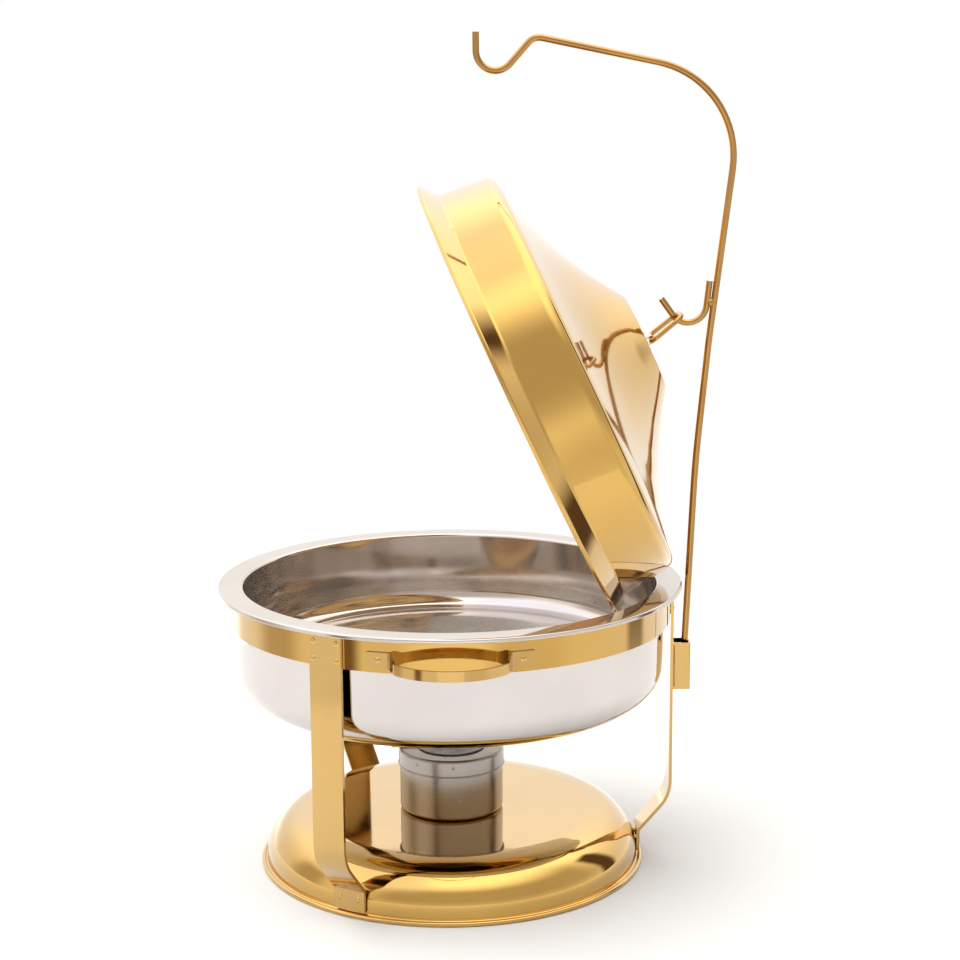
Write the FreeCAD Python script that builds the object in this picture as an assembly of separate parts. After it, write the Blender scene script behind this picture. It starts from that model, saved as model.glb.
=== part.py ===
"""Round chafing dish on a three-legged stand, with its lid hung open on a side arm.

Millimetres. The origin is the centre of the base's resting plane, +Z is up, the front
handle points to -Y and the arm that carries the lid stands at +X. An azimuth is counted
from the front (-Y) towards the right (+X).
"""
import FreeCAD, Part
import math
import os

# ---- driving dimensions -------------------------------------------------------------

# sheet metal
SHEET = 1.0                  # pans, lid and base
STRAP = 2.2                  # leg strip
BAND = 1.5                   # ring strip

# base dish
BASE_TOP_Z = 36.5
BASE_FLAT_R = 101.0
BASE_SHOULDER_R = 119.5
BASE_SHOULDER_Z = 34.2
BASE_SKIRT_R = 134.0
BASE_RIM_R = 138.7
BASE_BEAD = 3.4

# ring that the pans hang in
RING_R = 157.0
RING_LOW_Z = 180.5
RING_TOP_Z = 204.3
RING_SEAM_AZIMUTH = 63.5
RING_SEAM_GAP = 0.8
JOINER_HALF_ANGLE = 4.0

# legs
LEG_AZIMUTHS = {"leg_front_left": -31.0, "leg_right": 90.0, "leg_back_left": 209.0}
LEG_WIDTH = 24.5
LEG_TOP_Z = 203.3
LEG_KNEE_Z = 46.5
LEG_ANKLE_Z = 20.0
LEG_FOOT_Z = 4.5
LEG_KNEE_R = 28.0
LEG_ANKLE_R = 5.0

# water pan and food pan
WATER_FLANGE_R = 161.0
WATER_PAN_R = 153.0
WATER_PAN_LOW_Z = 122.5
FOOD_FLANGE_R = 165.0
FOOD_PAN_R = 146.8
FOOD_FLOOR_Z = 150.0
FLOOR_STEP = 1.2

# carrying handles on the ring
HANDLE_STRIP = 1.6
HANDLE_LOW_Z = 184.0
HANDLE_TAB_TOP_Z = 194.4
HANDLE_LOOP_TOP_Z = 190.9
HANDLE_TAB_AZIMUTH = 17.2
HANDLE_TAB_HALF = 8.2
HANDLE_LOOP_HALF = 35.5
HANDLE_NECK_R = 167.0
HANDLE_LOOP_R = 45.0
HANDLE_CREST_R = 207.1

# socket for the arm, on the right leg
SOCKET_LOW_Z = 124.5
SOCKET_TOP_Z = 159.0
SOCKET_DEPTH = 13.0
SOCKET_HALF_WIDTH = 7.3
SOCKET_WALL = 1.2
SOCKET_PLAY = 0.3

# arm
ROD_D = 4.8
ROD_X = 168.4
HOOK_D = 4.5
HOOK_CORNER = (176.9, 366.6)
HOOK_BEND_R = 12.9
FOOT_TOP_Z = 148.0

# lid, hung open: rim centre, and how far its axis leans over from upright
LID_CENTRE = (51.2, 335.0)
LID_LEAN = 65.0
LID_RIM_R = 166.0
LID_TOP = 95.9
LID_PLATEAU_R = 35.5

# bail, the wire loop that hangs on the hook
BAIL_D = 3.5
BAIL_HALF_WIDTH = 14.0
BAIL_RISE = 4.0
BAIL_SEAT_ANGLE = 234.0
BAIL_SEAT_PLAY = 0.15
CLIP_SHEET = 0.8
CLIP_HALF_WIDTH = 6.0
CLIP_HALF_LENGTH = 9.0

# fuel holder
CUP_R = 37.2
CUP_TOP_Z = 81.2
COVER_R = 38.1
COVER_TOP_Z = 82.0
COVER_LOW_Z = 69.6
COVER_MOUTH_R = 22.0
WICK_TOP_Z = 58.0
WICK_GAP = 0.3
DAMPER_R = 24.5
DAMPER_SHEET = 0.8
DAMPER_PIVOT_X = -31.5
DAMPER_GAP = 0.15

# rivets
SHANK_R = 1.3
HEAD_R = 2.1
HEAD_H = 0.8
TAIL_R = 2.1
TAIL_H = 0.8

X_AXIS = FreeCAD.Vector(1, 0, 0)
Y_AXIS = FreeCAD.Vector(0, 1, 0)
Z_AXIS = FreeCAD.Vector(0, 0, 1)
ORIGIN = FreeCAD.Vector(0, 0, 0)


# ---- drawing helpers ----------------------------------------------------------------

def rounded_edges(points, radii):
    """Straight runs through the points, with an arc of the given radius at each inner point."""
    edges = []
    here = points[0]
    for before, corner, after, radius in zip(points, points[1:], points[2:], radii):
        back = (before - corner).normalize()
        ahead = (after - corner).normalize()
        half = back.getAngle(ahead) / 2
        if radius <= 0 or abs(half - math.pi / 2) < 1e-6:
            edges.append(Part.makeLine(here, corner))
            here = corner
            continue
        run = radius / math.tan(half)
        start = corner + back * run
        end = corner + ahead * run
        middle_way = (back + ahead).normalize()
        middle = corner + middle_way * (radius / math.sin(half) - radius)
        if here.distanceToPoint(start) > 1e-4:
            edges.append(Part.makeLine(here, start))
        edges.append(Part.Arc(start, middle, end).toShape())
        here = end
    if here.distanceToPoint(points[-1]) > 1e-4:
        edges.append(Part.makeLine(here, points[-1]))
    return edges


def shifted_outline(points, radii, shift):
    """The 2-D outline moved by shift to the left of its travel, and the radii that keep it parallel."""
    ways = []
    for (x0, y0), (x1, y1) in zip(points, points[1:]):
        length = math.hypot(x1 - x0, y1 - y0)
        ways.append(((x1 - x0) / length, (y1 - y0) / length))
    moved = [(points[0][0] - ways[0][1] * shift, points[0][1] + ways[0][0] * shift)]
    new_radii = []
    for corner, way_in, way_out, radius in zip(points[1:], ways, ways[1:], radii):
        turn = way_in[0] * way_out[1] - way_in[1] * way_out[0]
        cosine = way_in[0] * way_out[0] + way_in[1] * way_out[1]
        miter = shift / (1 + cosine)
        moved.append((corner[0] - (way_in[1] + way_out[1]) * miter,
                      corner[1] + (way_in[0] + way_out[0]) * miter))
        new_radii.append(radius - math.copysign(shift, turn * shift) if radius > 0 else 0)
    moved.append((points[-1][0] - ways[-1][1] * shift, points[-1][1] + ways[-1][0] * shift))
    return moved, new_radii


def sheet_face(points, radii, thickness, to_space):
    """A strip of metal of even thickness along an outline; a positive one lies left of the travel."""
    other, other_radii = shifted_outline(points, radii, thickness)
    near = rounded_edges([to_space(*p) for p in points], radii)
    far = rounded_edges([to_space(*p) for p in other], other_radii)
    ends = [Part.makeLine(to_space(*points[0]), to_space(*other[0])),
            Part.makeLine(to_space(*points[-1]), to_space(*other[-1]))]
    return Part.Face(Part.Wire(Part.__sortEdges__(near + far + ends)))


def in_section(r, z):
    """A point of a turned profile: radius and height."""
    return FreeCAD.Vector(r, 0, z)


def turned_sheet(points, radii, thickness):
    """Spun sheet metal: the strip turned once round the upright axis."""
    return sheet_face(points, radii, thickness, in_section).revolve(ORIGIN, Z_AXIS, 360)


def turned_box(r0, r1, z0, z1, start=0.0, sweep=360.0):
    """A ring, or a piece of one, of rectangular section."""
    corners = [in_section(r0, z0), in_section(r1, z0), in_section(r1, z1), in_section(r0, z1)]
    face = Part.Face(Part.makePolygon(corners + corners[:1]))
    ring = face.revolve(ORIGIN, Z_AXIS, sweep)
    ring.rotate(ORIGIN, Z_AXIS, start)
    return ring


def bent_wire(points, radii, diameter):
    """A round wire along straight runs joined by arcs."""
    path = Part.Wire(rounded_edges(points, radii))
    way = (points[1] - points[0]).normalize()
    ring = Part.Wire(Part.makeCircle(diameter / 2, points[0], way))
    return path.makePipeShell([ring], True, False)


def box(x0, x1, y0, y1, z0, z1):
    """A block between two corners."""
    return Part.makeBox(x1 - x0, y1 - y0, z1 - z0, FreeCAD.Vector(x0, y0, z0))


def turn_to(shape, azimuth):
    """A copy of a front-facing shape, turned about the upright axis."""
    copy = shape.copy()
    copy.rotate(ORIGIN, Z_AXIS, azimuth)
    return copy


def outward_pin(azimuth, aside, z, radial):
    """Place for something drawn along +Z: its origin on the radius, its +Z pointing outwards."""
    place = FreeCAD.Placement(FreeCAD.Vector(aside, -radial, z), FreeCAD.Rotation(X_AXIS, 90))
    return FreeCAD.Placement(ORIGIN, FreeCAD.Rotation(Z_AXIS, azimuth)).multiply(place)


def rivet(grip, sunk):
    """A rivet along +Z. Its domed head starts at 0 and its tail lies under the grip."""
    v = FreeCAD.Vector
    ball_r = (HEAD_R ** 2 + HEAD_H ** 2) / (2 * HEAD_H)
    dome = Part.makeSphere(ball_r, v(0, 0, HEAD_H - ball_r))
    head = Part.makeCylinder(HEAD_R, HEAD_H + sunk + 1, v(0, 0, -sunk)).common(dome)
    stem = Part.makeCylinder(SHANK_R, grip + TAIL_H / 2, v(0, 0, -grip - TAIL_H / 2))
    tail = Part.makeCylinder(TAIL_R, TAIL_H + sunk, v(0, 0, -grip - TAIL_H))
    return head.fuse([stem, tail]).removeSplitter()


def shank(grip):
    """The hole that a rivet fills."""
    return Part.makeCylinder(SHANK_R, grip + 6, FreeCAD.Vector(0, 0, -grip - 3))


def placed(shape, placement):
    """A copy of a shape at a placement."""
    copy = shape.copy()
    copy.Placement = placement.multiply(copy.Placement)
    return copy


def save(name, shape):
    """Write one node."""
    os.makedirs("parts", exist_ok=True)
    shape.exportStep("parts/" + name + ".step")
    print(name, len(shape.Solids), round(shape.Volume), shape.isValid())


# ---- the stand ----------------------------------------------------------------------

def make_base():
    """Dished base: flat top, rounded shoulder, short skirt and a rolled rim to stand on."""
    lip_z = 2.4
    points = [(0, BASE_TOP_Z), (BASE_FLAT_R, BASE_TOP_Z), (BASE_SHOULDER_R, BASE_SHOULDER_Z),
              (BASE_SKIRT_R, 18.0), (BASE_SKIRT_R, lip_z), (BASE_RIM_R - BASE_BEAD / 2, lip_z)]
    dish = turned_sheet(points, [40.0, 25.0, 25.0, 1.6], -SHEET)
    bead = turned_box(BASE_RIM_R - BASE_BEAD, BASE_RIM_R, 0, BASE_BEAD)
    round_edges = [e for e in bead.Edges if e.Length > 10]
    bead = bead.makeFillet(1.4, round_edges)
    return dish.fuse(bead).removeSplitter()


def make_leg():
    """One front-facing leg: a strip riveted to the ring, bent in to the base's skirt."""
    points = [(RING_R, LEG_TOP_Z), (RING_R, LEG_KNEE_Z),
              (BASE_SKIRT_R, LEG_ANKLE_Z), (BASE_SKIRT_R, LEG_FOOT_Z)]
    face = sheet_face(points, [LEG_KNEE_R, LEG_ANKLE_R], STRAP,
                      lambda r, z: FreeCAD.Vector(-LEG_WIDTH / 2, -r, z))
    return face.extrude(FreeCAD.Vector(LEG_WIDTH, 0, 0))


def leg_rivet_places(azimuth):
    """Where the rivets of one leg go: two high and two low on the ring, two on the base."""
    ring_outer = RING_R + STRAP
    high = [(aside, z) for z in (197.5, 185.5) for aside in (-9.0, 9.0)]
    low = [(-7.2, 13.0), (7.2, 13.0)]
    tops = [outward_pin(azimuth, aside, z, ring_outer) for aside, z in high]
    feet = [outward_pin(azimuth, aside, z, BASE_SKIRT_R + STRAP) for aside, z in low]
    return tops, feet


def make_ring():
    """The ring strip, with the narrow gap where its ends meet."""
    ring = turned_box(RING_R - BAND, RING_R, RING_LOW_Z, RING_TOP_Z)
    gap = box(-RING_SEAM_GAP / 2, RING_SEAM_GAP / 2, -RING_R - 5, -RING_R + 5,
              RING_LOW_Z - 5, RING_TOP_Z + 5)
    return ring.cut(turn_to(gap, RING_SEAM_AZIMUTH))


def make_joiner():
    """The plate welded behind the ring's two ends."""
    first = RING_SEAM_AZIMUTH - 90 - JOINER_HALF_ANGLE
    return turned_box(RING_R - BAND - SHEET, RING_R - BAND, RING_LOW_Z + 2, RING_TOP_Z - 1.5,
                      first, 2 * JOINER_HALF_ANGLE)


def make_handle():
    """Front carrying handle: a strip with two tabs on the ring and a bowed finger loop,
    with two shallow seams where the loop's halves lap."""
    tab = math.radians(HANDLE_TAB_AZIMUTH)
    middle = (RING_R * math.sin(tab), RING_R * math.cos(tab))
    along = (math.cos(tab), -math.sin(tab))
    end = [middle[i] + along[i] * HANDLE_TAB_HALF for i in (0, 1)]
    bend = [middle[i] - along[i] * HANDLE_TAB_HALF for i in (0, 1)]
    right = [tuple(end), tuple(bend), (HANDLE_LOOP_HALF, HANDLE_NECK_R)]
    left = [(-x, y) for x, y in reversed(right)]
    points = right + [(0, HANDLE_CREST_R)] + left
    strip = sheet_face(points, [3.2, 2.4, HANDLE_LOOP_R, 2.4, 3.2], -HANDLE_STRIP,
                       lambda x, y: FreeCAD.Vector(x, -y, HANDLE_LOW_Z))
    strip = strip.extrude(FreeCAD.Vector(0, 0, HANDLE_TAB_TOP_Z - HANDLE_LOW_Z))
    v = FreeCAD.Vector
    side = [v(-90, -130, HANDLE_LOW_Z - 1), v(-90, -230, HANDLE_LOW_Z - 1),
            v(-90, -230, HANDLE_LOOP_TOP_Z), v(-90, -HANDLE_NECK_R, HANDLE_LOOP_TOP_Z),
            v(-90, -157.5, HANDLE_TAB_TOP_Z), v(-90, -130, HANDLE_TAB_TOP_Z)]
    keep = Part.Face(Part.makePolygon(side + side[:1])).extrude(v(180, 0, 0))
    handle = strip.common(keep)
    front = -handle.BoundBox.YMin
    seams = [box(x - 0.25, x + 0.25, -front - 1, 1.2 - front, HANDLE_LOW_Z - 1, HANDLE_TAB_TOP_Z)
             for x in (-8.0, 8.0)]
    return handle.cut(seams)


def make_socket():
    """Square cup on the right leg that the arm drops into."""
    x0 = RING_R + STRAP
    x1 = x0 + SOCKET_DEPTH
    half = SOCKET_HALF_WIDTH
    outer = box(x0, x1, -half, half, SOCKET_LOW_Z, SOCKET_TOP_Z)
    upright = [e for e in outer.Edges
               if abs(e.Vertexes[0].X - x1) < 0.01 and abs(e.Vertexes[1].X - x1) < 0.01
               and abs(e.Vertexes[0].Y - e.Vertexes[1].Y) < 0.01]
    outer = outer.makeFillet(1.2, upright)
    inner = box(x0 + SOCKET_WALL, x1 - SOCKET_WALL, SOCKET_WALL - half, half - SOCKET_WALL,
                SOCKET_LOW_Z + SOCKET_WALL, SOCKET_TOP_Z + 5)
    return outer.cut(inner)


def make_socket_welds():
    """A weld bead down each side of the socket, against the leg."""
    x0 = RING_R + STRAP
    beads = []
    for side in (-1, 1):
        y0 = side * SOCKET_HALF_WIDTH
        v = FreeCAD.Vector
        corners = [v(x0, y0, SOCKET_LOW_Z + 2), v(x0 + 1.8, y0, SOCKET_LOW_Z + 2),
                   v(x0, y0 + side * 1.8, SOCKET_LOW_Z + 2)]
        face = Part.Face(Part.makePolygon(corners + corners[:1]))
        beads.append(face.extrude(v(0, 0, SOCKET_TOP_Z - SOCKET_LOW_Z - 4)))
    return Part.makeCompound(beads)


# ---- the arm ------------------------------------------------------------------------

def make_rod():
    """The long rod: up from the socket, over the dish, and down into a hook at its free end."""
    floor = SOCKET_LOW_Z + SOCKET_WALL
    path = [(ROD_X, floor), (ROD_X, 157.0), (174.4, 290.0), (182.6, 376.0), (204.8, 554.7),
            (60.2, 584.9), (20.9, 540.2), (20.6, 588.0)]
    points = [FreeCAD.Vector(x, 0, z) for x, z in path]
    return bent_wire(points, [300.0, 800.0, 800.0, 66.0, 10.0, 13.3], ROD_D)


def make_arm_foot():
    """The block at the rod's lower end that fills the socket and keeps the arm from turning."""
    x0 = RING_R + STRAP + SOCKET_WALL + SOCKET_PLAY
    half = SOCKET_HALF_WIDTH - SOCKET_WALL - SOCKET_PLAY
    return box(x0, ROD_X, -half, half, SOCKET_LOW_Z + SOCKET_WALL, FOOT_TOP_Z)


def make_hook():
    """The J-shaped hook on the rod that holds the lid's bail."""
    points = [FreeCAD.Vector(182.6, 0, 417.5), FreeCAD.Vector(HOOK_CORNER[0], 0, HOOK_CORNER[1]),
              FreeCAD.Vector(149.0, 0, 405.4)]
    return points, bent_wire(points, [HOOK_BEND_R], HOOK_D)


def hook_bend_centre(points):
    """The centre of the hook's bend."""
    back = (points[0] - points[1]).normalize()
    ahead = (points[2] - points[1]).normalize()
    half = back.getAngle(ahead) / 2
    return points[1] + (back + ahead).normalize() * (HOOK_BEND_R / math.sin(half))


def weld_blob(x, z, radius, neighbours):
    """A weld between round pieces, fitted round them."""
    blob = Part.makeSphere(radius, FreeCAD.Vector(x, 0, z))
    for piece in neighbours:
        blob = blob.cut(piece)
    return Part.makeCompound(blob.Solids)


# ---- the lid ------------------------------------------------------------------------

def lid_place():
    """The lid is drawn upright on its rim; this tips it over to where it hangs."""
    return FreeCAD.Placement(FreeCAD.Vector(LID_CENTRE[0], 0, LID_CENTRE[1]),
                             FreeCAD.Rotation(Y_AXIS, LID_LEAN))


def make_lid():
    """Domed lid: sloping rim flange, upright wall, shoulder, and a flank that rises to a flat top."""
    points = [(LID_RIM_R - 0.4, -2.2), (LID_RIM_R, 0), (154.0, 9.6), (150.4, 48.6), (85.4, 62.6),
              (LID_PLATEAU_R, LID_TOP), (0, LID_TOP)]
    return turned_sheet(points, [1.4, 3.0, 9.0, 240.0, 4.0], SHEET)


def make_clip():
    """The saddle on the lid's flat top that the bail turns in."""
    inner = BAIL_D / 2 + 0.25
    outer = inner + CLIP_SHEET
    points = [(-CLIP_HALF_LENGTH, CLIP_SHEET), (-outer, CLIP_SHEET), (-outer, BAIL_RISE + outer),
              (outer, BAIL_RISE + outer), (outer, CLIP_SHEET), (CLIP_HALF_LENGTH, CLIP_SHEET)]
    face = sheet_face(points, [0.4, 2.6, 2.6, 0.4], -CLIP_SHEET,
                      lambda x, z: FreeCAD.Vector(x, -CLIP_HALF_WIDTH, LID_TOP + z))
    return face.extrude(FreeCAD.Vector(0, 2 * CLIP_HALF_WIDTH, 0))


def clip_rivet_places():
    """One rivet through each foot of the clip, into the lid."""
    places = []
    for x in (-6.0, 6.0):
        places.append(FreeCAD.Placement(FreeCAD.Vector(x, 0, LID_TOP + CLIP_SHEET),
                                        FreeCAD.Rotation()))
    return places


def make_bail(pivot, tip):
    """A wire loop from its turning side, in the clip, to its round end, in the hook."""
    reach = tip.distanceToPoint(pivot)
    way = (tip - pivot).normalize()
    wide = BAIL_HALF_WIDTH
    gap = 0.3
    outline = [(gap, 0), (wide, 0), (wide - 2, reach), (2 - wide, reach), (-wide, 0), (-gap, 0)]
    points = [pivot + Y_AXIS * a + way * b for a, b in outline]
    return bent_wire(points, [4.0, 8.5, 8.5, 4.0], BAIL_D)


# ---- the pans -----------------------------------------------------------------------

def make_water_pan():
    """Outer pan, hung in the ring by its flange, with a well-rounded bottom edge."""
    points = [(WATER_FLANGE_R, RING_TOP_Z), (WATER_PAN_R, RING_TOP_Z),
              (WATER_PAN_R - 1.2, WATER_PAN_LOW_Z), (0, WATER_PAN_LOW_Z)]
    return turned_sheet(points, [2.0, 26.0], -SHEET)


def make_food_pan():
    """Inner pan: turned-down lip, flat flange, upright wall and a floor with two raised steps."""
    flange_z = RING_TOP_Z + 2 * SHEET
    floor = FOOD_FLOOR_Z
    points = [(FOOD_FLANGE_R, flange_z - 2.6), (FOOD_FLANGE_R, flange_z), (FOOD_PAN_R, flange_z),
              (FOOD_PAN_R - 3.2, floor), (118.0, floor), (116.2, floor + FLOOR_STEP),
              (102.0, floor + FLOOR_STEP), (100.2, floor + 2 * FLOOR_STEP),
              (0, floor + 2 * FLOOR_STEP)]
    return turned_sheet(points, [1.5, 2.2, 13.0, 1.5, 1.5, 1.5, 1.5], SHEET)


# ---- the fuel holder ----------------------------------------------------------------

def make_cup():
    """Drawn cup that stands on the base."""
    points = [(0, BASE_TOP_Z), (CUP_R, BASE_TOP_Z), (CUP_R, CUP_TOP_Z)]
    return turned_sheet(points, [3.5], SHEET)


def make_wick():
    """Pad of absorbent wool in the cup, narrower at its foot to clear the cup's rounded corner."""
    low = BASE_TOP_Z + SHEET
    taper = 3.0
    foot = Part.makeCone(CUP_R - SHEET - WICK_GAP - taper, CUP_R - SHEET - WICK_GAP, taper,
                         FreeCAD.Vector(0, 0, low))
    body = Part.makeCylinder(CUP_R - SHEET - WICK_GAP, WICK_TOP_Z - low - taper,
                             FreeCAD.Vector(0, 0, low + taper))
    return foot.fuse(body).removeSplitter()


def make_cover():
    """Cover that sleeves over the cup, with a rolled lower edge and a round flame mouth."""
    points = [(COVER_R, COVER_LOW_Z), (COVER_R, COVER_TOP_Z), (COVER_MOUTH_R, COVER_TOP_Z)]
    shell = turned_sheet(points, [2.2], COVER_TOP_Z - CUP_TOP_Z)
    roll = Part.makeTorus(COVER_R - 0.1, 0.65, FreeCAD.Vector(0, 0, COVER_LOW_Z + 0.6))
    core = Part.makeCylinder(CUP_R + 0.05, COVER_TOP_Z, ORIGIN)
    return shell.fuse(roll.cut(core)).removeSplitter()


def make_damper():
    """Flat plate that closes the flame mouth, with an ear for its pivot and a lever to push."""
    low = COVER_TOP_Z + DAMPER_GAP
    v = FreeCAD.Vector
    disc = Part.makeCylinder(DAMPER_R, DAMPER_SHEET, v(0, 0, low))
    arm = box(-43.0, -18.0, -4.5, 4.5, low, low + DAMPER_SHEET)
    lever = box(-43.0, -43.0 + DAMPER_SHEET, -4.5, 4.5, low, low + 5.0)
    plate = disc.fuse(arm).fuse(lever).removeSplitter()
    hole = Part.makeCylinder(SHANK_R + 0.05, 10, v(DAMPER_PIVOT_X, 0, low - 5))
    return plate.cut(hole)


# ---- build and write ----------------------------------------------------------------

def build_stand():
    """The base, ring, legs, handles and socket, with the rivets that hold them."""
    base = make_base()
    ring = make_ring()
    leg_grip = STRAP + BAND
    foot_grip = STRAP + SHEET
    top_rivets = []
    foot_rivets = []
    for name, azimuth in LEG_AZIMUTHS.items():
        tops, feet = leg_rivet_places(azimuth)
        top_shanks = [placed(shank(leg_grip), p) for p in tops]
        foot_shanks = [placed(shank(foot_grip), p) for p in feet]
        leg = turn_to(make_leg(), azimuth).cut(top_shanks + foot_shanks)
        ring = ring.cut(top_shanks)
        base = base.cut(foot_shanks)
        top_rivets += [placed(rivet(leg_grip, 0.5), p).cut([leg, ring]) for p in tops]
        foot_rivets += [placed(rivet(foot_grip, 0.5), p).cut([leg, base]) for p in feet]
        save(name, leg)
    handle_grip = HANDLE_STRIP + BAND
    handle_rivets = []
    for name, azimuth in (("handle_front", 0.0), ("handle_back", 180.0)):
        handle = turn_to(make_handle(), azimuth)
        for side in (-1, 1):
            place = outward_pin(azimuth + side * HANDLE_TAB_AZIMUTH, 0, 189.2,
                                RING_R + HANDLE_STRIP)
            hole = placed(shank(handle_grip), place)
            handle = handle.cut(hole)
            ring = ring.cut(hole)
            handle_rivets.append(placed(rivet(handle_grip, 0.3), place).cut([handle, ring]))
        save(name, handle)
    save("base_plate", base)
    save("ring_band", ring)
    save("ring_joiner", make_joiner())
    save("leg_top_rivets", Part.makeCompound([s for r in top_rivets for s in r.Solids]))
    save("leg_foot_rivets", Part.makeCompound([s for r in foot_rivets for s in r.Solids]))
    save("handle_rivets", Part.makeCompound([s for r in handle_rivets for s in r.Solids]))
    save("arm_socket", make_socket())
    save("socket_welds", make_socket_welds())


def build_arm():
    """The rod, its foot, its lid hook and their welds; returns the hook's points."""
    rod = make_rod()
    foot = make_arm_foot().cut(rod)
    hook_points, hook = make_hook()
    save("arm_rod", rod)
    save("arm_foot", foot)
    save("lid_hook", hook)
    save("hook_weld", weld_blob(183.4, 402.5, 3.3, [rod, hook]))
    save("foot_weld", weld_blob(165.6, FOOT_TOP_Z, 2.0, [rod, foot]))
    return hook_points


def build_lid(hook_points):
    """The lid, the clip with its rivets, and the bail between clip and hook."""
    place = lid_place()
    grip = CLIP_SHEET + SHEET
    lid = make_lid()
    clip = make_clip()
    rivets = []
    for spot in clip_rivet_places():
        hole = placed(shank(grip), spot)
        lid = lid.cut(hole)
        clip = clip.cut(hole)
        rivets.append(placed(rivet(grip, 0.0), spot))
    save("lid_shell", placed(lid, place))
    save("bail_clip", placed(clip, place))
    save("clip_rivets", placed(Part.makeCompound([s for r in rivets for s in r.Solids]), place))
    pivot = place.multVec(FreeCAD.Vector(0, 0, LID_TOP + BAIL_RISE))
    seat = HOOK_BEND_R - HOOK_D / 2 - BAIL_D / 2 - BAIL_SEAT_PLAY
    angle = math.radians(BAIL_SEAT_ANGLE)
    tip = hook_bend_centre(hook_points) + FreeCAD.Vector(math.cos(angle), 0, math.sin(angle)) * seat
    save("lid_bail", make_bail(pivot, tip))
    print("bail pivot", pivot, "tip", tip)


def build_pans():
    """The two pans."""
    save("water_pan", make_water_pan())
    save("food_pan", make_food_pan())


def build_fuel_holder():
    """The cup, its absorbent filling, its cover, and the damper on its pivot rivet."""
    cover = make_cover()
    pivot = FreeCAD.Vector(DAMPER_PIVOT_X, 0, COVER_TOP_Z + 2 * DAMPER_GAP + DAMPER_SHEET)
    grip = pivot.z - CUP_TOP_Z
    place = FreeCAD.Placement(pivot, FreeCAD.Rotation())
    hole = Part.makeCylinder(SHANK_R, 10, FreeCAD.Vector(DAMPER_PIVOT_X, 0, COVER_TOP_Z - 5))
    save("fuel_cup", make_cup().cut(cover))
    save("fuel_wick", make_wick())
    save("fuel_cover", cover.cut(hole))
    save("fuel_damper", make_damper())
    save("damper_pivot", placed(rivet(grip, 0.0), place))


build_stand()
build_lid(build_arm())
build_pans()
build_fuel_holder()
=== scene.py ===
"""The looks of a round chafing dish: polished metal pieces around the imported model, a floor,
soft studio light and a camera.

Metres, in the model's own frame: origin at the centre of the base's resting plane, +Z up,
front handle towards -Y, the lid's arm at +X. An azimuth is counted from the front towards
the right.
"""
import math

import bmesh
import bpy
from mathutils import Matrix, Vector


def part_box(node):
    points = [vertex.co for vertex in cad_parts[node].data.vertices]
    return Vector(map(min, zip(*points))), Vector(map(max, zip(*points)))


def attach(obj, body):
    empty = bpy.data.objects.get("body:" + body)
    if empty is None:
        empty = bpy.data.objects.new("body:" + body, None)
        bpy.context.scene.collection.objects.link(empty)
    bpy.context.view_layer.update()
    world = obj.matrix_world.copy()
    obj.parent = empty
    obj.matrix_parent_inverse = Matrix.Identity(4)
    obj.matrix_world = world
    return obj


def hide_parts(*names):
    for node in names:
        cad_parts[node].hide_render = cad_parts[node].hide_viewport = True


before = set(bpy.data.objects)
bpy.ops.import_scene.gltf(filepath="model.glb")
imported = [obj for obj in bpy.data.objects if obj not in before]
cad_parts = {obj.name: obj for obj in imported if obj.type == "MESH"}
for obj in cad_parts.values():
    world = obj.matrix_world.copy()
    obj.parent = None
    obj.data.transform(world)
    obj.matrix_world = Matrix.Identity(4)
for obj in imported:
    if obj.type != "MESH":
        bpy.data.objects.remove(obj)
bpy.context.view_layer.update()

MM = 0.001
TURNS = 288                             # facets round a spun piece
BEND_STEP = math.radians(7)             # turn per facet of a rounded corner
EDGE_STEPS = 4                          # facets round a sheet's cut edge
EDGE_HOLD = 0.15                        # mm, flat shading kept beside a sheet's cut edge
SHARP_ANGLE = math.radians(38)          # a fold sharper than this keeps a hard edge

SHEET = 1.0                             # mm, the sheet of the base, lid, pans and cup
COVER_SHEET = 0.55                      # mm, the sheet of the burner's cover
LID_CENTRE = Vector((51.2, 0, 335.0))   # mm, the middle of the lid's rim where it hangs
LID_TIP = math.radians(65.0)            # how far the hanging lid is tipped over to the right

FLOOR_R = 640.0                         # mm
FLOOR_THICKNESS = 4.0                   # mm


# ---- outlines -----------------------------------------------------------------------

def rounded(points, radii):
    """A polyline through the points, each inner corner rounded to its radius by short steps."""
    line = [Vector(points[0])]
    for before, corner, after, radius in zip(points, points[1:], points[2:], radii):
        corner = Vector(corner)
        back = (Vector(before) - corner).normalized()
        ahead = (Vector(after) - corner).normalized()
        half = back.angle(ahead) / 2
        if radius <= 0 or abs(half - math.pi / 2) < 1e-5:
            line.append(corner)
            continue
        run = radius / math.tan(half)
        middle = (back + ahead).normalized()
        centre = corner + middle * (radius / math.sin(half))
        sweep = math.pi - 2 * half
        steps = max(3, math.ceil(sweep / BEND_STEP))
        across = (back - middle * back.dot(middle)).normalized()
        for i in range(steps + 1):
            a = sweep / 2 - sweep * i / steps
            line.append(centre + (across * math.sin(a) - middle * math.cos(a)) * radius)
    line.append(Vector(points[-1]))
    return line


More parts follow.
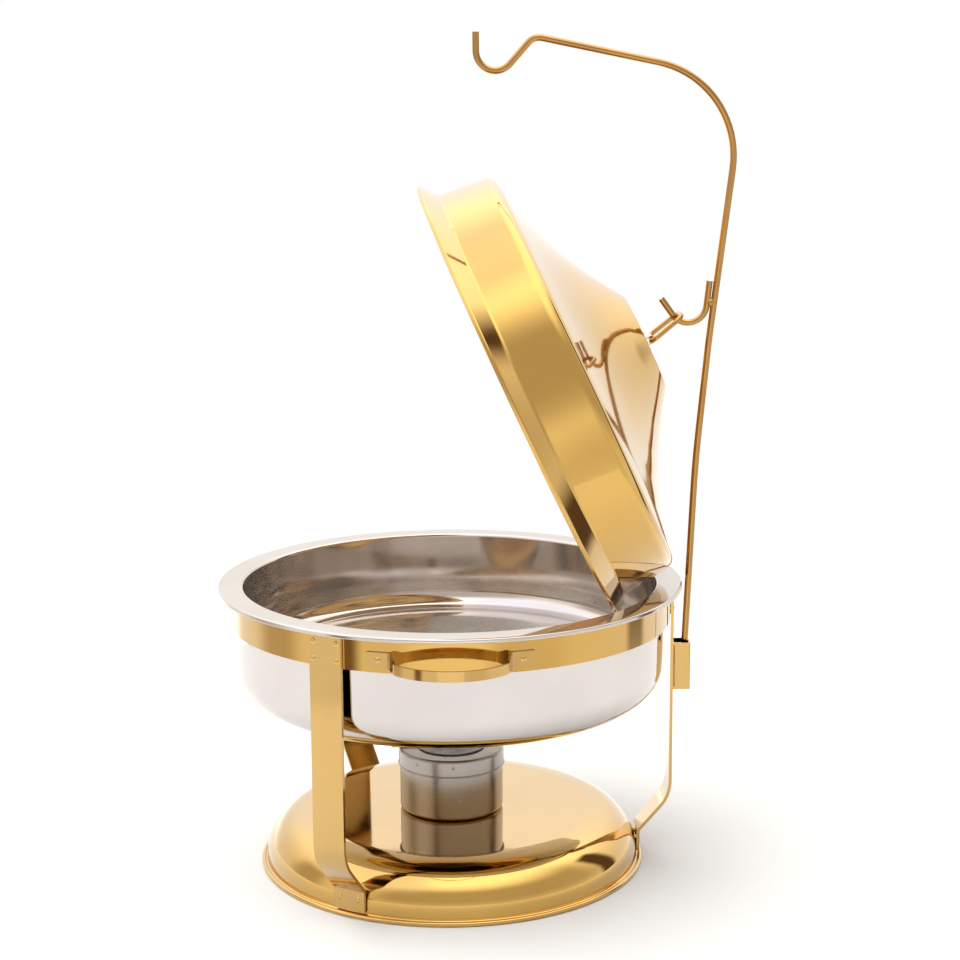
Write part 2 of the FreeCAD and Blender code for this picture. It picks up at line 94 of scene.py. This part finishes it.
def shifted(points, radii, shift):
    """The 2-D outline moved by shift to the left of its travel, with radii that keep it parallel."""
    ways = [(Vector(b) - Vector(a)).normalized() for a, b in zip(points, points[1:])]
    lefts = [Vector((-w.y, w.x)) for w in ways]
    moved = [Vector(points[0]) + lefts[0] * shift]
    new_radii = []
    for corner, w0, w1, l0, l1, radius in zip(points[1:], ways, ways[1:], lefts, lefts[1:], radii):
        moved.append(Vector(corner) + (l0 + l1) * (shift / (1 + w0.dot(w1))))
        turn = w0.x * w1.y - w0.y * w1.x
        new_radii.append(radius - math.copysign(shift, turn * shift) if radius > 0 else 0)
    moved.append(Vector(points[-1]) + lefts[-1] * shift)
    return moved, new_radii


def sheet_section(points, radii, thickness):
    """Both sides of a sheet along an outline."""
    other, other_radii = shifted(points, radii, thickness)
    return rounded(points, radii), rounded(other, other_radii)


# ---- meshes -------------------------------------------------------------------------

def new_piece(name, mesh_maker):
    """A mesh object from a bmesh, smooth but for its real edges."""
    mesh = bpy.data.meshes.new(name)
    bm = bmesh.new()
    mesh_maker(bm)
    bmesh.ops.recalc_face_normals(bm, faces=bm.faces)
    bm.to_mesh(mesh)
    bm.free()
    mesh.shade_smooth()
    mesh.set_sharp_from_angle(angle=SHARP_ANGLE)
    piece = bpy.data.objects.new(name, mesh)
    bpy.context.scene.collection.objects.link(piece)
    return piece


def lathe(bm, section, turns=TURNS):
    """Turns a closed section (radius, height in mm) round the Z axis. Points on the axis become one."""
    rings = []
    for r, z in section:
        if r < 1e-6:
            rings.append([bm.verts.new((0, 0, z * MM))])
            continue
        angles = (2 * math.pi * i / turns for i in range(turns))
        rings.append([bm.verts.new((r * MM * math.sin(a), -r * MM * math.cos(a), z * MM))
                      for a in angles])
    for a, b in zip(rings, rings[1:] + rings[:1]):
        if len(a) == len(b) == 1:
            continue
        for i in range(turns):
            j = (i + 1) % turns
            corners = [a[i % len(a)], a[j % len(a)], b[j % len(b)], b[i % len(b)]]
            unique = list(dict.fromkeys(corners))
            if len(unique) > 2:
                bm.faces.new(unique)


def edge_round(a, b):
    """Points of a half-round cut edge from a to b, bulging to the right of the way from a to b."""
    a = Vector(a)
    b = Vector(b)
    centre = (a + b) / 2
    arm = a - centre
    out = Vector((-arm.y, arm.x))
    return [centre + arm * math.cos(t) + out * math.sin(t)
            for t in (math.pi * i / EDGE_STEPS for i in range(1, EDGE_STEPS))]


def held(line):
    """The line with a point added just inside each end, which keeps its shading flat up to there."""
    first = line[0] + (line[1] - line[0]).normalized() * EDGE_HOLD
    last = line[-1] + (line[-2] - line[-1]).normalized() * EDGE_HOLD
    return [line[0], first, *line[1:-1], last, line[-1]]


def spun_section(points, radii, thickness, round_start=True):
    """Closed section for a spun sheet: the near side out, the far side back, and a round cut edge."""
    near, far = (held(side) for side in sheet_section(points, radii, thickness))
    section = near + far[::-1]
    if round_start:
        edge = edge_round(far[0], near[0])
        section += edge if thickness > 0 else edge[::-1]
    return section


def bead(centre_r, centre_z, radius, steps):
    """Round section of a rolled edge, in mm."""
    return [(centre_r + radius * math.cos(a), centre_z + radius * math.sin(a))
            for a in (2 * math.pi * i / steps for i in range(steps))]


# ---- materials ----------------------------------------------------------------------

class Graph:
    """A short way to write a shader's nodes."""

    def __init__(self, tree):
        self.tree = tree

    def node(self, kind, inputs=None, **settings):
        """A node with its settings and inputs; an input that is a socket is linked."""
        made = self.tree.nodes.new(kind)
        for key, value in settings.items():
            setattr(made, key, value)
        for key, value in (inputs or {}).items():
            socket = made.inputs[key]
            if isinstance(value, bpy.types.NodeSocket):
                self.tree.links.new(value, socket)
            else:
                socket.default_value = value
        return made

    def math(self, operation, a, b=0.0, clamp=False):
        """A number from one or two others."""
        return self.node("ShaderNodeMath", {0: a, 1: b}, operation=operation,
                         use_clamp=clamp).outputs[0]

    def span(self, value, low, high, to_low=0.0, to_high=1.0):
        """A value eased from one range to another, and held at its ends."""
        return self.node("ShaderNodeMapRange", {0: value, 1: low, 2: high, 3: to_low, 4: to_high},
                         interpolation_type="SMOOTHSTEP").outputs[0]

    def mix(self, share, a, b):
        """A colour between two."""
        return self.node("ShaderNodeMix", {0: share, 6: a, 7: b}, data_type="RGBA").outputs[2]

    def noise(self, place, scale, detail=2.0, roughness=0.5):
        """Soft noise at a place, about 0.5."""
        return self.node("ShaderNodeTexNoise", {"Vector": place, "Scale": scale,
                                                "Detail": detail, "Roughness": roughness}).outputs[0]

    def stretched(self, place, scale):
        """A place with its axes scaled."""
        return self.node("ShaderNodeMapping", {"Vector": place, "Scale": scale}).outputs[0]


TONE_SCALE = 14.0       # noise scales, per metre: the broad change of tone
SMEAR_SCALE = 60.0      # handling marks in the gloss
DENT_SCALE = 9.0        # slow waves in the sheet
RING_SCALE = 900.0      # turned scratches on a flat face
LEVEL_SCALE = 1100.0    # scratches that run round a wall
FINE_GRAIN = (900.0, 900.0, 900.0)
BUMP_DISTANCE = 0.001   # metres


def metal(name, colour, roughness, deep=None, grain=None, grain_depth=0.0, wear=0.5,
          dents=0.0, coat=0.0, brushed=0.0, metallic=1.0):
    """Polished or brushed metal.

    colour and deep are the tone and its darker variation. grain stretches the fine scratches
    along X, Y and Z ("ring" turns them round the Z axis, "level" runs them round a wall), and
    grain_depth is their height. wear spreads the gloss, dents is the height of slow waves,
    coat is a clear layer over the metal, brushed is the stretch of its highlights round the
    Z axis, and metallic below 1 leaves some matt reflection.
    """
    material = bpy.data.materials.new(name)
    material.use_nodes = True
    g = Graph(material.node_tree)
    shader = material.node_tree.nodes["Principled BSDF"]
    shader.inputs["Metallic"].default_value = metallic
    shader.inputs["Coat Weight"].default_value = coat
    shader.inputs["Coat Roughness"].default_value = 0.04
    shader.inputs["Coat IOR"].default_value = 1.7
    shader.inputs["Anisotropic"].default_value = brushed
    place = g.node("ShaderNodeTexCoord").outputs["Object"]
    link = material.node_tree.links.new
    if brushed:
        round_axis = g.node("ShaderNodeTangent", direction_type="RADIAL", axis="Z")
        link(round_axis.outputs[0], shader.inputs["Tangent"])

    broad = g.noise(place, TONE_SCALE, 3.0)
    tone = g.mix(g.span(broad, 0.35, 0.65), (*(deep or colour), 1.0), (*colour, 1.0))
    link(tone, shader.inputs["Base Color"])

    if grain == "ring":
        parts = g.node("ShaderNodeSeparateXYZ", {0: place})
        flat = g.node("ShaderNodeCombineXYZ", {0: parts.outputs[0], 1: parts.outputs[1]})
        radius = g.node("ShaderNodeVectorMath", {0: flat.outputs[0]},
                        operation="LENGTH").outputs["Value"]
        lines = g.node("ShaderNodeCombineXYZ", {0: radius}).outputs[0]
        scratches = g.noise(lines, RING_SCALE, 3.0, 0.6)
    elif grain == "level":
        parts = g.node("ShaderNodeSeparateXYZ", {0: place})
        lines = g.node("ShaderNodeCombineXYZ", {0: parts.outputs[2]}).outputs[0]
        scratches = g.noise(lines, LEVEL_SCALE, 3.0, 0.6)
    else:
        lines = g.stretched(place, grain or FINE_GRAIN)
        scratches = g.noise(lines, 1.0, 4.0, 0.65)
    smears = g.noise(place, SMEAR_SCALE, 3.0, 0.6)

    spread = g.span(smears, 0.3, 0.75, roughness * (1 - wear * 0.5), roughness * (1 + wear))
    fine = g.math("MULTIPLY", g.math("SUBTRACT", scratches, 0.5), roughness * 0.8)
    link(g.math("ADD", spread, fine, clamp=True), shader.inputs["Roughness"])

    height = g.math("MULTIPLY", scratches, grain_depth)
    wave = g.math("MULTIPLY", g.noise(place, DENT_SCALE, 1.0), dents)
    bump = g.node("ShaderNodeBump", {"Height": g.math("ADD", height, wave), "Distance": BUMP_DISTANCE,
                                     "Strength": 1.0})
    link(bump.outputs[0], shader.inputs["Normal"])
    return material


GOLD = metal("gold_mirror", (0.60, 0.350, 0.050), 0.06, deep=(0.57, 0.325, 0.043),
             grain_depth=0.0008, dents=0.04, coat=1.0)
GOLD_STRIP = metal("gold_strip", (0.570, 0.350, 0.085), 0.10, deep=(0.530, 0.315, 0.070),
                   grain=(1800.0, 1800.0, 60.0), grain_depth=0.006, dents=0.10, coat=1.0)
GOLD_WIRE = metal("gold_wire", (0.45, 0.235, 0.050), 0.13, deep=(0.38, 0.190, 0.038),
                  grain=(1500.0, 1500.0, 200.0), grain_depth=0.012, coat=0.5)
WELD = metal("gold_weld", (0.46, 0.29, 0.10), 0.32, deep=(0.34, 0.21, 0.08), grain_depth=0.3)
STEEL = metal("steel_mirror", (0.62, 0.585, 0.565), 0.05, deep=(0.59, 0.555, 0.535),
              dents=0.02)
# Mirror steel for the inner pan, darker and warmer than the outer pan's: painted shade of the pan's
# hollow, with some matt reflection.
STEEL_SHADED = metal("steel_mirror_shaded", (0.60, 0.545, 0.50), 0.06, deep=(0.56, 0.505, 0.46),
                   dents=0.02, metallic=0.86)
STEEL_SATIN = metal("steel_satin", (0.58, 0.555, 0.52), 0.28, deep=(0.53, 0.505, 0.47),
                    grain="ring", grain_depth=0.004, wear=0.15, brushed=0.4)
STEEL_BRUSHED = metal("steel_brushed", (0.41, 0.370, 0.335), 0.23, deep=(0.36, 0.325, 0.295),
                      grain="level", grain_depth=0.003, wear=0.15, brushed=0.5)
STEEL_DARK = metal("steel_dark", (0.20, 0.18, 0.165), 0.30, deep=(0.14, 0.125, 0.115),
                   grain_depth=0.05)


def wool(name, colour):
    """Packed mineral wool: matt fibres, darker in the gaps between them as painted shade."""
    material = bpy.data.materials.new(name)
    material.use_nodes = True
    g = Graph(material.node_tree)
    shader = material.node_tree.nodes["Principled BSDF"]
    place = g.node("ShaderNodeTexCoord").outputs["Object"]
    strands = g.noise(g.stretched(place, (700.0, 2400.0, 1200.0)), 1.0, 5.0, 0.7)
    # painted shade in the gaps, where the strands sit low
    gap_shade = tuple(c * 0.45 for c in colour)
    tone = g.mix(g.span(strands, 0.3, 0.6), (*gap_shade, 1.0), (*colour, 1.0))
    link = material.node_tree.links.new
    link(tone, shader.inputs["Base Color"])
    link(g.span(strands, 0.2, 0.8, 0.75, 0.95), shader.inputs["Roughness"])
    bump = g.node("ShaderNodeBump", {"Height": strands, "Distance": BUMP_DISTANCE, "Strength": 0.8})
    link(bump.outputs[0], shader.inputs["Normal"])
    return material


WOOL = wool("wick_wool", (0.78, 0.75, 0.68))


def finish(thing, *materials):
    """Gives an object its materials, in slot order."""
    thing.data.materials.clear()
    for material in materials:
        thing.data.materials.append(material)


NODE_FINISH = {
    "base_plate": GOLD, "ring_band": GOLD, "ring_joiner": GOLD, "lid_shell": GOLD,
    "leg_front_left": GOLD_STRIP, "leg_right": GOLD_STRIP, "leg_back_left": GOLD_STRIP,
    "handle_front": GOLD_STRIP, "handle_back": GOLD_STRIP, "arm_socket": GOLD_STRIP,
    "bail_clip": GOLD_STRIP, "leg_top_rivets": GOLD, "leg_foot_rivets": GOLD,
    "handle_rivets": GOLD, "clip_rivets": GOLD, "arm_foot": GOLD_STRIP,
    "arm_rod": GOLD_WIRE, "lid_hook": GOLD_WIRE, "lid_bail": GOLD_WIRE,
    "hook_weld": WELD, "foot_weld": WELD, "socket_welds": WELD,
    "water_pan": STEEL, "food_pan": STEEL,
    "fuel_cup": STEEL_BRUSHED, "fuel_cover": STEEL_BRUSHED, "fuel_damper": STEEL_DARK,
    "damper_pivot": STEEL_BRUSHED, "fuel_wick": WOOL,
}
for node_name, node_material in NODE_FINISH.items():
    finish(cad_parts[node_name], node_material)


# ---- spun pieces --------------------------------------------------------------------

def top_of(node):
    """Highest point of a node, in mm."""
    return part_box(node)[1].z / MM


def spun(name, sections, body, node, materials, place=None):
    """A spun piece from one or more sections, standing for a CAD node."""
    def make(bm):
        for section in sections:
            lathe(bm, section)
    piece = new_piece(name, make)
    finish(piece, *materials)
    if place is not None:
        piece.data.transform(place)
    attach(piece, body)
    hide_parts(node)
    return piece


def base_dish():
    """The dished base with its rolled rim."""
    top = top_of("base_plate")
    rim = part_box("base_plate")[1].x / MM
    roll = 1.7
    skirt = 134.0
    skirt_low = 2.4
    points = [(0, top), (101.0, top), (119.5, top - 2.3), (skirt, 18.0), (skirt, skirt_low),
              (rim - roll, skirt_low)]
    dish = spun_section(points, [40.0, 25.0, 25.0, 1.6], -SHEET, round_start=False)
    rolled = bead(rim - roll, roll, roll, 20)
    spun("base_dish", [dish, rolled], "stand", "base_plate", [GOLD])


def lid_dome():
    """The lid, drawn upright and tipped over to where it hangs."""
    place = Matrix.Translation(LID_CENTRE * MM) @ Matrix.Rotation(LID_TIP, 4, "Y")
    points = [(165.6, -2.2), (166.0, 0), (154.0, 9.6), (150.4, 48.6), (85.4, 62.6),
              (35.5, 95.9), (0, 95.9)]
    section = spun_section(points, [1.4, 3.0, 9.0, 240.0, 4.0], SHEET)
    spun("lid_dome", [section], "lid", "lid_shell", [GOLD], place)


def water_pan():
    """The outer pan."""
    ring_top = top_of("ring_band")
    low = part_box("water_pan")[0].z / MM
    points = [(161.0, ring_top), (153.0, ring_top), (151.8, low), (0, low)]
    section = spun_section(points, [2.0, 26.0], -SHEET)
    spun("outer_pan", [section], "water_pan", "water_pan", [STEEL])


def food_pan():
    """The inner pan: mirror flange and wall, and a floor with two raised steps, satin within."""
    flange = top_of("food_pan")
    floor = 150.0
    step = 1.2
    satin_r = 102.0
    satin_top = floor + 2 * step + 0.2
    points = [(165.0, flange - 2.6), (165.0, flange), (146.8, flange), (143.6, floor),
              (118.0, floor), (116.2, floor + step), (102.0, floor + step),
              (100.2, floor + 2 * step), (0, floor + 2 * step)]
    section = spun_section(points, [1.5, 2.2, 13.0, 1.5, 1.5, 1.5, 1.5], SHEET)
    piece = spun("inner_pan", [section], "food_pan", "food_pan",
                 [STEEL_SHADED, STEEL_SATIN])
    for face in piece.data.polygons:
        spot = face.center / MM
        faces_up = face.normal.z > 0.2
        if faces_up and spot.z < satin_top and math.hypot(spot.x, spot.y) < satin_r:
            face.material_index = 1


def fuel_can():
    """The burner's drawn cup and its cover, with a rolled edge and a round mouth."""
    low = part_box("fuel_cup")[0].z / MM
    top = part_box("fuel_cover")[1].z / MM
    cover_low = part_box("fuel_cover")[0].z / MM
    cup_r = 37.2
    cover_r = 38.1
    mouth_r = 22.0
    roll = 0.6
    points = [(0, low), (cup_r, low), (cup_r, top - 2.4)]
    cup = spun_section(points, [3.5], SHEET, round_start=False)
    spun("can_cup", [cup], "fuel_holder", "fuel_cup", [STEEL_BRUSHED])
    points = [(cover_r, cover_low + 0.9), (cover_r, top), (mouth_r, top)]
    cover = spun_section(points, [2.2], COVER_SHEET)
    rolled = bead(cover_r - 0.05, cover_low + roll, roll, 12)
    spun("can_cover", [cover, rolled], "fuel_holder", "fuel_cover",
         [STEEL_BRUSHED])


def spot_welds():
    """Four flat dots round the cover, each where a weld holds it to the cup."""
    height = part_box("fuel_cover")[1].z / MM - 4.6
    out = 38.0

    def make(bm):
        for azimuth in (-40.0, 2.0, 120.0, 215.0):
            a = math.radians(azimuth)
            dot = bmesh.ops.create_uvsphere(bm, u_segments=16, v_segments=10, radius=1.3 * MM)
            spot = Vector((out * math.sin(a), -out * math.cos(a), height)) * MM
            flat = (Matrix.Translation(spot) @ Matrix.Rotation(a, 4, "Z")
                    @ Matrix.Diagonal((1, 0.3, 1, 1)))
            bmesh.ops.transform(bm, matrix=flat, verts=dot["verts"])
    dots = new_piece("can_spot_welds", make)
    finish(dots, STEEL_BRUSHED)
    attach(dots, "fuel_holder")


base_dish()
lid_dome()
water_pan()
food_pan()
fuel_can()
spot_welds()


# ---- floor, light and camera --------------------------------------------------------

def make_floor():
    """A plain pale floor. It is as white as the backdrop where it ends."""
    def make(bm):
        lathe(bm, [(0, 0), (FLOOR_R, 0), (FLOOR_R, -FLOOR_THICKNESS), (0, -FLOOR_THICKNESS)], 96)
    floor = new_piece("floor", make)
    material = bpy.data.materials.new("floor_pale")
    material.use_nodes = True
    g = Graph(material.node_tree)
    shader = material.node_tree.nodes["Principled BSDF"]
    place = g.node("ShaderNodeTexCoord").outputs["Object"]
    tone = g.mix(g.noise(place, 3.0), (0.56, 0.56, 0.56, 1.0), (0.58, 0.58, 0.58, 1.0))
    material.node_tree.links.new(tone, shader.inputs["Base Color"])
    shader.inputs["Roughness"].default_value = 0.7
    shader.inputs["Specular IOR Level"].default_value = 0.2
    floor.data.materials.append(material)


# What the room shows to the metal: a colour, then azimuths, heights and edge softness in degrees.
ROOM = [
    ((0.74, 0.69, 0.63), -48.0, 100.0, 2.0, 48.0, 13.0),     # dim wall, front to right
    ((1.40, 1.37, 1.32), -22.0, 20.0, -30.0, -4.0, 7.0),     # bright table, front
    ((1.02, 0.97, 0.90), 24.0, 60.0, -30.0, -4.0, 8.0),      # table, right
    ((0.26, 0.18, 0.12), -60.0, -48.0, -22.0, 2.0, 4.0),     # dark strip, front left
    ((0.72, 0.65, 0.57), -112.0, -86.0, -30.0, 30.0, 8.0),   # grey screen, left
    ((2.10, 2.05, 1.95), -176.0, -142.0, -30.0, 0.0, 8.0),   # bright table, back left
    ((0.14, 0.09, 0.06), 103.0, 117.0, -16.0, 40.0, 3.0),    # dark strip, right
]
SOFTBOX = (-150.0, -28.0, 40.0, 84.0, 18.0)                  # above, at the front left
SOFTBOX_LIGHT = (5.0, 4.9, 4.7)
SOFTBOX_MIRRORED = (1.65, 1.72, 2.05)                        # dimmer and cooler in a reflection


def make_world():
    """A pale studio by azimuth and height. The camera itself sees plain white."""
    world = bpy.data.worlds.new("studio")
    bpy.context.scene.world = world
    world.use_nodes = True
    g = Graph(world.node_tree)
    way = g.node("ShaderNodeTexCoord").outputs["Generated"]
    x, y, z = g.node("ShaderNodeSeparateXYZ", {0: way}).outputs
    turn = g.math("DEGREES", g.math("ARCTAN2", x, g.math("MULTIPLY", y, -1.0)))
    rise = g.math("DEGREES", g.math("ARCSINE", z))

    def patch(sky, colour, left, right, low, high, soft):
        """The sky with a patch between two azimuths and two heights, in degrees."""
        share = g.span(turn, left - soft, left + soft)
        share = g.math("MULTIPLY", share, g.span(turn, right + soft, right - soft))
        share = g.math("MULTIPLY", share, g.span(rise, low - soft, low + soft))
        share = g.math("MULTIPLY", share, g.span(rise, high + soft, high - soft))
        return g.mix(share, sky, (*colour, 1.0))

    sky = g.mix(g.span(rise, 8.0, 62.0), (1.14, 1.12, 1.09, 1.0), (2.40, 2.36, 2.30, 1.0))
    for colour, *place in ROOM:
        sky = patch(sky, colour, *place)
    rays = g.node("ShaderNodeLightPath").outputs
    lit = patch(sky, SOFTBOX_LIGHT, *SOFTBOX)
    mirrored = patch(sky, SOFTBOX_MIRRORED, *SOFTBOX)
    sky = g.mix(rays["Is Glossy Ray"], lit, mirrored)
    colour = g.mix(rays["Is Camera Ray"], sky, (1.0, 1.0, 1.0, 1.0))
    background = world.node_tree.nodes["Background"]
    world.node_tree.links.new(colour, background.inputs["Color"])
    background.inputs["Strength"].default_value = 1.0


def soft_light(name, spot, aim, size, power):
    """A square soft light that doesn't show in the metal. Metres and watts."""
    light = bpy.data.lights.new(name, "AREA")
    light.shape = "SQUARE"
    light.size = size
    light.energy = power
    lamp = bpy.data.objects.new(name, light)
    bpy.context.scene.collection.objects.link(lamp)
    way = Vector(aim) - Vector(spot)
    lamp.matrix_world = Matrix.Translation(spot) @ way.to_track_quat("-Z", "Y").to_matrix().to_4x4()
    lamp.visible_glossy = False


CAMERA_SPOT = (-0.0017, -1.4417, 0.5569)   # metres
CAMERA_PITCH = math.radians(10.96)         # downwards
CAMERA_YAW = math.radians(0.939)           # to the right of +Y
CAMERA_ROLL = math.radians(-0.323)


def make_camera():
    """The camera, facing the front handle from above the dish's rim and looking down on it."""
    camera = bpy.data.cameras.new("camera")
    camera.lens = 77.8
    camera.sensor_width = 36.0
    camera.clip_end = 50.0
    level = math.cos(CAMERA_PITCH)
    ahead = Vector((math.sin(CAMERA_YAW) * level, math.cos(CAMERA_YAW) * level,
                    -math.sin(CAMERA_PITCH)))
    right = Vector((math.cos(CAMERA_YAW), -math.sin(CAMERA_YAW), 0))
    up = right.cross(ahead)
    side = right * math.cos(CAMERA_ROLL) + up * math.sin(CAMERA_ROLL)
    top = up * math.cos(CAMERA_ROLL) - right * math.sin(CAMERA_ROLL)
    thing = bpy.data.objects.new("camera", camera)
    bpy.context.scene.collection.objects.link(thing)
    thing.matrix_world = (Matrix.Translation(CAMERA_SPOT)
                          @ Matrix((side, top, -ahead)).transposed().to_4x4())
    bpy.context.scene.camera = thing


make_floor()
make_world()
soft_light("key_light", (-1.2, -1.2, 1.9), (0, 0, 0.25), 1.2, 6.0)
soft_light("top_light", (0.3, 0.3, 2.2), (0, 0, 0.2), 1.6, 5.0)
make_camera()
bpy.context.scene.view_settings.view_transform = "Standard"
